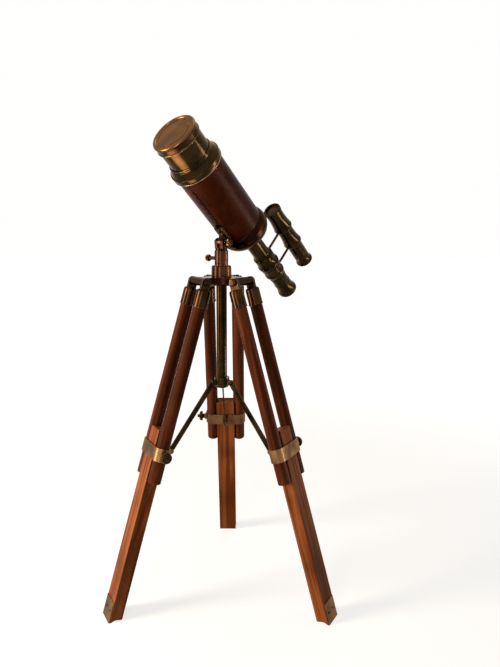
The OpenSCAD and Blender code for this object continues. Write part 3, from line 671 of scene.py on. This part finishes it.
class Workshop:
    """Keeps the finishes that have been made, and lays them on nodes and pieces."""

    def __init__(self) -> None:
        """Starts with no finish made."""
        self._made: dict[tuple[str, Axis], bpy.types.Material] = {}

    def finish(self, finish: Finish, axis: Axis) -> bpy.types.Material:
        """Gives a finish along an axis, made once.

        Args:
            finish: the finish.
            axis: the direction that it follows.

        Returns:
            The material.
        """
        key = (finish.name, axis)
        if key not in self._made:
            self._made[key] = finish.build(axis)
        return self._made[key]

    def dress(self, nodes: Sequence[str], finish: Finish, axis: Axis = Axis.ROOM) -> None:
        """Lays a finish on nodes of the frame.

        Args:
            nodes: the nodes' names.
            finish: the finish.
            axis: the direction that it follows.
        """
        material = self.finish(finish, axis)
        for name in nodes:
            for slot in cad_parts[name].material_slots:
                slot.material = material

    def piece(self, mesh: bpy.types.Mesh, body: str, slot: str, material: bpy.types.Material,
              place: Matrix) -> None:
        """Makes an object of a mesh, under the mesh's name, and lets it ride on a body.

        Args:
            mesh: its mesh, in metres, in the frame of place.
            body: the body that carries it.
            slot: not used.
            material: its finish.
            place: the frame that the mesh is drawn in.
        """
        mesh.transform(place)
        mesh.materials.clear()
        mesh.materials.append(material)
        made = bpy.data.objects.new(mesh.name, mesh)
        bpy.context.scene.collection.objects.link(made)
        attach(made, body)
        log.info("%s: %d faces on %s", mesh.name, len(mesh.polygons), body)


def turned_mesh(name: str, outline: Profile, around: int = 96) -> bpy.types.Mesh:
    """Turns an outline round the Z axis, as a lathe does.

    Args:
        name: the mesh's name.
        outline: closed loop of radius and height pairs, in millimetres, clear of the axis.
        around: number of steps round the axis.

    Returns:
        The mesh, in metres.
    """
    bm = bmesh.new()
    steps = [2 * math.pi * k / around for k in range(around)]
    rings = [[bm.verts.new((radius * MM * math.cos(step), radius * MM * math.sin(step),
                            height * MM)) for step in steps] for radius, height in outline]
    for first, second in zip(rings, rings[1:] + rings[:1]):
        for k in range(around):
            after = (k + 1) % around
            bm.faces.new((first[k], first[after], second[after], second[k])).smooth = True
    bmesh.ops.recalc_face_normals(bm, faces=bm.faces)
    mesh = bpy.data.meshes.new(name)
    bm.to_mesh(mesh)
    bm.free()
    return mesh


class Recipe(Tree):
    """Builds one Geometry Nodes tree, and turns its result into a plain mesh."""

    def __init__(self, name: str) -> None:
        """Starts an empty tree.

        Args:
            name: the tree's name.
        """
        super().__init__(bpy.data.node_groups.new(name, "GeometryNodeTree"))
        self.tree.interface.new_socket("Geometry", in_out="OUTPUT",
                                       socket_type="NodeSocketGeometry")
        self.entry = self.node("NodeGroupInput")
        self.exit = self.node("NodeGroupOutput")

    def size(self, name: str, kind: str = "Float") -> bpy.types.NodeSocket:
        """Adds a named input.

        Args:
            name: the input's name.
            kind: Float, Int or Material.

        Returns:
            The socket that carries the input's value.
        """
        self.tree.interface.new_socket(name, in_out="INPUT", socket_type=f"NodeSocket{kind}")
        return self.entry.outputs[name]

    def vector(self, x: Any = 0.0, y: Any = 0.0, z: Any = 0.0) -> bpy.types.Node:
        """Adds the node that joins three numbers or sockets to a vector."""
        return self.node("ShaderNodeCombineXYZ", {0: x, 1: y, 2: z})

    def close(self, geometry: bpy.types.Node, material: bpy.types.NodeSocket) -> None:
        """Ends the tree with Realize Instances and Set Material.

        Args:
            geometry: the node whose geometry is the result.
            material: the input that names the finish.
        """
        real = self.node("GeometryNodeRealizeInstances", {"Geometry": geometry})
        dressed = self.node("GeometryNodeSetMaterial", {"Geometry": real, "Material": material})
        self.feed(self.exit.inputs[0], dressed)

    def make(self, name: str, **values: Any) -> bpy.types.Mesh:
        """Runs the tree with the given sizes.

        Args:
            name: the mesh's name.
            **values: a value for each named input.

        Returns:
            The plain mesh.
        """
        holder = bpy.data.objects.new(name + "_recipe", bpy.data.meshes.new(name + "_recipe"))
        bpy.context.scene.collection.objects.link(holder)
        modifier = holder.modifiers.new("recipe", "NODES")
        modifier.node_group = self.tree
        for item in self.tree.interface.items_tree:
            if item.item_type == "SOCKET" and item.in_out == "INPUT":
                modifier[item.identifier] = values[item.name]
        graph = bpy.context.evaluated_depsgraph_get()
        mesh = bpy.data.meshes.new_from_object(holder.evaluated_get(graph), depsgraph=graph)
        holder.modifiers.clear()
        bpy.data.objects.remove(holder)
        mesh.name = name
        return mesh


def rib_recipe() -> Recipe:
    """Makes the recipe for a ring of ribs, such as the knurling of a thumb screw."""
    r = Recipe("rib_ring")
    count, material = r.size("Count", "Int"), r.size("Finish", "Material")
    radius, width, length = r.size("Radius"), r.size("Width"), r.size("Length")
    circle = r.node("GeometryNodeMeshCircle", {"Vertices": count, "Radius": radius})
    block = r.node("GeometryNodeMeshCube", {"Size": r.vector(width, width, length)})
    on_edge = r.node("GeometryNodeTransform", {
        "Geometry": block, "Rotation": (0.0, 0.0, math.pi / 4)})
    outward = r.node("FunctionNodeAlignRotationToVector", {
        "Vector": r.node("GeometryNodeInputPosition")}, axis="X")
    ribs = r.node("GeometryNodeInstanceOnPoints", {
        "Points": circle, "Instance": on_edge, "Rotation": outward})
    r.close(ribs, material)
    return r


def stitch_recipe() -> Recipe:
    """Makes the recipe for a row of slanted stitches along Z, each a little uneven."""
    r = Recipe("stitch_row")
    count, material = r.size("Count", "Int"), r.size("Finish", "Material")
    pitch, length, thick = r.size("Pitch"), r.size("Length"), r.size("Thickness")
    slant, uneven = r.size("Slant"), r.size("Unevenness")
    row = r.node("GeometryNodeMeshLine", {"Count": count, "Offset": r.vector(z=pitch)})
    bead = r.node("GeometryNodeMeshUVSphere", {"Segments": 10, "Rings": 8, "Radius": 1.0})
    stitch = r.node("GeometryNodeTransform", {
        "Geometry": bead, "Scale": r.vector(thick, thick, length)})
    lean = r.node("FunctionNodeRandomValue", {"Seed": 7}, data_type="FLOAT")
    r.feed(typed(lean.inputs, "VALUE", "Min"), r.sum("SUBTRACT", slant, uneven))
    r.feed(typed(lean.inputs, "VALUE", "Max"), r.sum("ADD", slant, uneven))
    rows = r.node("GeometryNodeInstanceOnPoints", {
        "Points": row, "Instance": stitch,
        "Rotation": r.vector(x=typed(lean.outputs, "VALUE"))})
    real = r.node("GeometryNodeRealizeInstances", {"Geometry": rows})
    r.close(r.node("GeometryNodeSetShadeSmooth", {"Geometry": real}), material)
    return r


def screw_recipe() -> Recipe:
    """Makes the recipe for a row of slotted screw heads along X, domes that stand along Z."""
    r = Recipe("screw_row")
    count, material = r.size("Count", "Int"), r.size("Finish", "Material")
    spacing, radius, height = r.size("Spacing"), r.size("Radius"), r.size("Height")
    slot, lean = r.size("Slot"), r.size("Turn")
    ball = r.node("GeometryNodeMeshUVSphere", {"Segments": 24, "Rings": 12, "Radius": 1.0})
    dome = r.node("GeometryNodeTransform", {
        "Geometry": ball, "Scale": r.vector(radius, radius, height)})
    smooth = r.node("GeometryNodeSetShadeSmooth", {"Geometry": dome})
    wide = r.sum("MULTIPLY", radius, 3.0)
    cutter = r.node("GeometryNodeMeshCube", {"Size": r.vector(wide, slot, height)})
    raised = r.node("GeometryNodeTransform", {
        "Geometry": cutter, "Rotation": r.vector(z=lean), "Translation": r.vector(z=height)})
    head = r.node("GeometryNodeMeshBoolean", {"Mesh 1": smooth, "Mesh 2": raised},
                  operation="DIFFERENCE")
    row = r.node("GeometryNodeMeshLine", {"Count": count, "Offset": r.vector(x=spacing)})
    r.close(r.node("GeometryNodeInstanceOnPoints", {"Points": row, "Instance": head}), material)
    return r


@dataclass
class Tripod:
    """The wooden legs with their brass caps, clamps and braces, in millimetres."""

    shop: Workshop
    toe_height: float = 11.5
    toe_spacing: float = 13.35
    toe_out: float = 9.8
    toe_head: float = 2.0
    toe_dome: float = 0.9
    toe_slot: float = 0.5
    slot_turn: float = 0.5
    clamp_s: float = 234.5
    knob_r: float = 7.0
    knob_y: float = 38.5
    knob_len: float = 3.0
    knob_ribs: int = 36
    rib_width: float = 0.7
    foot_s: float = LAYOUT.pivot_h / math.cos(math.radians(LAYOUT.splay))

    def dress(self) -> None:
        """Lays the finishes on the tripod's nodes."""
        for leg in Leg:
            for finish, nodes in ((ROD_WOOD, ["leg_rods"]), (LEG_WOOD, ["lower_leg"]),
                                  (WARM_BRASS, ["leg_caps"]),
                                  (BAND_BRASS, ["leg_clamp", "toe_plate"]),
                                  (DARK_BRASS, ["clamp_screw", "brace"])):
                self.shop.dress([f"{node}_{leg.word}" for node in nodes], finish, leg.axis)
        self.shop.dress(["spreader_hub", "pole_stop"], DARK_BRASS)
        self.shop.dress(["head_plate"], RED_BRONZE)
        self.shop.dress(["head_collar"], ROSE_BRASS)
        self.shop.dress(["leg_bolts", "hub_rivets"], WARM_BRASS)
        self.shop.dress(["centre_pole"], POLE_BRASS)

    def knurl(self, leg: Leg, ribs: Recipe) -> None:
        """Makes the knurling of a leg's clamp screw.

        Args:
            leg: the leg.
            ribs: the recipe for knurling.
        """
        material = self.shop.finish(DARK_BRASS, leg.axis)
        mesh = ribs.make(f"clamp_knurl_{leg.word}", Count=self.knob_ribs, Finish=material,
                         Radius=self.knob_r * MM, Width=self.rib_width * MM,
                         Length=self.knob_len * MM)
        place = LAYOUT.leg(leg) @ shift(y=self.knob_y, z=-self.clamp_s) @ spin(-90.0, "X")
        self.shop.piece(mesh, f"clamp_knob_{leg.word}", "dark_brass", material, place)

    def toe_screws(self, leg: Leg, screws: Recipe) -> None:
        """Makes the two slotted screws in a leg's toe plate.

        Args:
            leg: the leg.
            screws: the recipe for slotted screws.
        """
        material = self.shop.finish(BRONZED, leg.axis)
        mesh = screws.make(f"toe_screws_{leg.word}", Count=2, Finish=material,
                           Spacing=self.toe_spacing * MM, Radius=self.toe_head * MM,
                           Height=self.toe_dome * MM, Slot=self.toe_slot * MM,
                           Turn=self.slot_turn)
        first = shift(self.toe_out, -self.toe_spacing / 2, self.toe_height - self.foot_s)
        across = Matrix(((0, 0, 1, 0), (1, 0, 0, 0), (0, 1, 0, 0), (0, 0, 0, 1)))
        self.shop.piece(mesh, f"foot_{leg.word}", "steel", material,
                        LAYOUT.leg(leg) @ first @ across)

    def build(self, ribs: Recipe, screws: Recipe) -> None:
        """Makes the small pieces of each leg.

        Args:
            ribs: the recipe for knurling.
            screws: the recipe for slotted screws.
        """
        for leg in Leg:
            self.knurl(leg, ribs)
            self.toe_screws(leg, screws)


@dataclass
class Mount:
    """The swivel sleeve, the fork and their thumb screws, in millimetres."""

    shop: Workshop
    rib_r: float = 4.4
    rib_width: float = 0.55
    rib_len: float = 2.6
    knob_ribs: int = 28
    swivel_z: float = 480.45
    swivel_knob: float = 22.8
    tilt_knob: float = 13.6

    def dress(self) -> None:
        """Lays the finishes on the mount's nodes."""
        self.shop.dress(["swivel_sleeve"], ROSE_BRASS)
        self.shop.dress(["fork"], RED_BRONZE)
        self.shop.dress(["tilt_screw", "saddle"], WARM_BRASS, Axis.FORK)
        self.shop.dress(["swivel_screw"], RED_BRONZE, Axis.FORK)
        self.shop.dress(["tilt_nut", "saddle_screws"], BRONZED, Axis.FORK)

    def build(self, ribs: Recipe) -> None:
        """Makes the knurling of the two thumb screws.

        Args:
            ribs: the recipe for knurling.
        """
        for word, finish, place in (
                ("tilt", WARM_BRASS, shift(x=self.tilt_knob)),
                ("swivel", RED_BRONZE,
                 shift(x=-self.swivel_knob, z=self.swivel_z - LAYOUT.tilt_z))):
            material = self.shop.finish(finish, Axis.FORK)
            mesh = ribs.make(f"{word}_knurl", Count=self.knob_ribs, Finish=material,
                             Radius=self.rib_r * MM, Width=self.rib_width * MM,
                             Length=self.rib_len * MM)
            self.shop.piece(mesh, f"{word}_knob", "worn_brass", material,
                            LAYOUT.fork() @ place @ spin(90.0, "Y"))


@dataclass
class Telescope:
    """The leather-covered body with its bells, dew shield and cap, in millimetres.

    A rim is given by its radius, its height along the tube and half its thickness.
    """

    shop: Workshop
    leather_r: float = 32.4
    leather_front: float = 95.0
    lace_start: float = 22.0
    lace_pitch: float = 9.6
    lace_len: float = 5.8
    lace_thick: float = 1.3
    lace_slant: float = 0.50
    lace_uneven: float = 0.12
    flange_rim: tuple[float, float, float] = (34.75, 97.7, 0.65)
    cap_rim: tuple[float, float, float] = (30.0, 141.7, 0.4)
    rim_sides: int = 12

    def dress(self) -> None:
        """Lays the finishes on the telescope's nodes."""
        self.shop.dress(["leather_sleeve"], TUBE_LEATHER, Axis.SCOPE)
        self.shop.dress(["main_tube", "dew_shield", "front_bell", "lens_ring"], DARK_BRASS,
                        Axis.SCOPE)
        self.shop.dress(["lens_cap"], CAP_BRASS, Axis.SCOPE)
        self.shop.dress(["rear_bell"], RED_BRONZE, Axis.SCOPE)
        self.shop.dress(["objective_lens"], LENS_GLASS, Axis.SCOPE)

    def lace(self, stitches: Recipe) -> None:
        """Makes the laced seam along the underside of the leather.

        Args:
            stitches: the recipe for stitches.
        """
        material = self.shop.finish(LACE, Axis.SCOPE)
        count = int((self.leather_front - self.lace_start) / self.lace_pitch)
        mesh = stitches.make("seam_lacing", Count=count, Finish=material,
                             Pitch=self.lace_pitch * MM, Length=self.lace_len * MM,
                             Thickness=self.lace_thick * MM, Slant=self.lace_slant,
                             Unevenness=self.lace_uneven)
        place = LAYOUT.scope() @ spin(LAYOUT.seam, "Z") @ shift(self.leather_r, 0, self.lace_start)
        self.shop.piece(mesh, "telescope", "leather", material, place)

    def rubbed_highlight_rims(self) -> None:
        """Makes rubbed rims on the flange and cap, bright enough to paint their highlight lines.
        """
        # the rings' bright brass is rubbing and a painted highlight line round each rim
        rubbed = self.shop.finish(RUBBED_HIGHLIGHT_BRASS, Axis.SCOPE)
        steps = [2 * math.pi * k / self.rim_sides for k in range(self.rim_sides)]
        for name, body, (radius, height, half) in (("flange_rim", "telescope", self.flange_rim),
                                                   ("cap_rim", "cap", self.cap_rim)):
            outline = [(radius + half * math.cos(step), height + half * math.sin(step))
                       for step in steps]
            self.shop.piece(turned_mesh(name, outline), body, "dark_brass", rubbed,
                            LAYOUT.scope())


def dress_draw_tube(shop: Workshop) -> None:
    """Lays the finishes on the draw tube, its eyepiece and the finder that rides on it.

    Args:
        shop: the workshop that keeps the finishes.
    """
    shop.dress(["draw_tube", "front_swell", "rear_swell", "eyepiece_barrel", "eyecup"],
               DARK_BRASS, Axis.SCOPE)
    shop.dress(["finder_struts"], ROSE_BRASS, Axis.SCOPE)
    shop.dress(["finder_tube", "finder_draw", "finder_eyecup"], DARK_BRASS, Axis.FINDER)
    # the lenses get the opaque dark brown glass, which paints the tubes' dark inside and a brown
    # reflection onto them
    shop.dress(["eye_lens", "finder_lens", "finder_eye_lens"], PAINTED_SHADE_GLASS, Axis.SCOPE)


@dataclass(frozen=True)
class Lamp:
    """One soft lamp, in metres, watts and degrees of spread."""

    name: str
    place: Point
    target: Point
    size: tuple[float, float]
    power: float
    tint: Colour
    spread: float = 180.0

    def build(self) -> None:
        """Adds the lamp to the scene."""
        data = bpy.data.lights.new(self.name, "AREA")
        data.shape = "RECTANGLE"
        data.size, data.size_y = self.size
        data.energy = self.power
        data.color = self.tint
        data.spread = math.radians(self.spread)
        made = bpy.data.objects.new(self.name, data)
        made.location = self.place
        aim = Vector(self.target) - Vector(self.place)
        made.rotation_euler = aim.to_track_quat("-Z", "Y").to_euler()
        made.visible_camera = False
        bpy.context.scene.collection.objects.link(made)


@dataclass
class Studio:
    """The floor, the light and the camera, in metres and degrees."""

    camera_place: Point = (0.0466, -0.8077, 0.5116)
    heading: float = 0.512
    pitch: float = 9.497
    roll: float = 0.173
    lens: float = 31.71
    sensor: float = 36.0
    clip: tuple[float, float] = (0.01, 100.0)
    floor_half: float = 12.0
    floor_tone: Colour = (0.46, 0.455, 0.45)
    white: Colour = (1.0, 0.995, 0.985)
    glow_near: tuple[float, float] = (0.35, 0.74)
    glow_far: tuple[float, float] = (1.6, 1.0)
    ambient: float = 0.10
    lamps: tuple[Lamp, ...] = (
        Lamp("key", (-1.35, -0.45, 0.60), (0.0, 0.0, 0.34), (0.45, 1.2), 35.0,
             (1.0, 0.84, 0.67)),
        Lamp("near_strip", (-0.42, -1.25, 0.56), (0.0, 0.0, 0.50), (0.16, 1.0), 4.6,
             (1.0, 0.90, 0.80)),
        Lamp("side_strip", (0.88, 0.0, 0.36), (0.02, 0.0, 0.56), (0.10, 0.66), 0.50,
             (1.0, 0.98, 0.93), 46.0),
        Lamp("low_card", (-0.150, -0.085, 0.20), (-0.082, -0.135, 0.58), (0.08, 0.32), 0.24,
             (1.0, 0.68, 0.44), 60.0),
        Lamp("top", (0.1, 0.3, 1.7), (0.0, 0.0, 0.4), (0.7, 0.7), 4.0, (1.0, 0.96, 0.90)),
    )

    def floor(self) -> None:
        """Lays the pale floor, which keeps a soft shadow near the feet and fades to white."""
        half = self.floor_half
        mesh = bpy.data.meshes.new("floor")
        mesh.from_pydata([(-half, -half, 0), (half, -half, 0), (half, half, 0), (-half, half, 0)],
                         [], [(0, 1, 2, 3)])
        floor = bpy.data.objects.new("floor", mesh)
        bpy.context.scene.collection.objects.link(floor)
        g = Graph("pale_floor", Matrix.Identity(4))
        away = g.node("ShaderNodeVectorMath", {0: g.place}, operation="LENGTH").outputs["Value"]
        (near, dim), (far, full) = self.glow_near, self.glow_far
        strength = g.sum("MULTIPLY", g.seen(), g.spread(away, near, far, dim, full))
        g.paint(Base_Color=(*self.floor_tone, 1.0), Roughness=0.95, Specular_IOR_Level=0.0,
                Emission_Color=(*self.white, 1.0), Emission_Strength=strength)
        mesh.materials.append(g.material)

    def world(self) -> None:
        """Makes the pale surroundings: white where they are seen, dimmer as a lamp."""
        world = bpy.data.worlds.new("surroundings")
        bpy.context.scene.world = world
        world.use_nodes = True
        tree = Tree(world.node_tree)
        glow = tree.node("ShaderNodeBackground", {
            "Color": (*self.white, 1.0),
            "Strength": tree.spread(tree.seen(), 0.0, 1.0, self.ambient, 1.0)})
        tree.node("ShaderNodeOutputWorld", {"Surface": glow})

    def camera(self) -> None:
        """Sets the camera where the photograph was taken from."""
        yaw, pitch, roll = (math.radians(a) for a in (self.heading, self.pitch, self.roll))
        ahead = Vector((-math.sin(yaw) * math.cos(pitch), math.cos(yaw) * math.cos(pitch),
                        -math.sin(pitch)))
        level = ahead.cross(Vector((0, 0, 1))).normalized()
        over = level.cross(ahead)
        right = level * math.cos(roll) + over * math.sin(roll)
        above = over * math.cos(roll) - level * math.sin(roll)
        data = bpy.data.cameras.new("camera")
        data.lens, data.sensor_width, data.sensor_fit = self.lens, self.sensor, "AUTO"
        data.clip_start, data.clip_end = self.clip
        made = bpy.data.objects.new("camera", data)
        facing = Matrix((right, above, -ahead)).transposed().to_4x4()
        made.matrix_world = Matrix.Translation(self.camera_place) @ facing
        bpy.context.scene.collection.objects.link(made)
        bpy.context.scene.camera = made

    def build(self) -> None:
        """Sets up the floor, the surroundings, the lamps and the camera."""
        self.floor()
        self.world()
        for lamp in self.lamps:
            lamp.build()
        self.camera()
        bpy.context.scene.view_settings.view_transform = "Standard"


def main() -> None:
    """Builds the studio and every sub-assembly in order."""
    logging.basicConfig(level=logging.INFO, format="%(name)s: %(message)s")
    Studio().build()
    shop = Workshop()
    ribs = rib_recipe()
    tripod = Tripod(shop)
    tripod.dress()
    tripod.build(ribs, screw_recipe())
    mount = Mount(shop)
    mount.dress()
    mount.build(ribs)
    telescope = Telescope(shop)
    telescope.dress()
    telescope.lace(stitch_recipe())
    telescope.rubbed_highlight_rims()
    dress_draw_tube(shop)


if __name__ == "__main__":
    main()
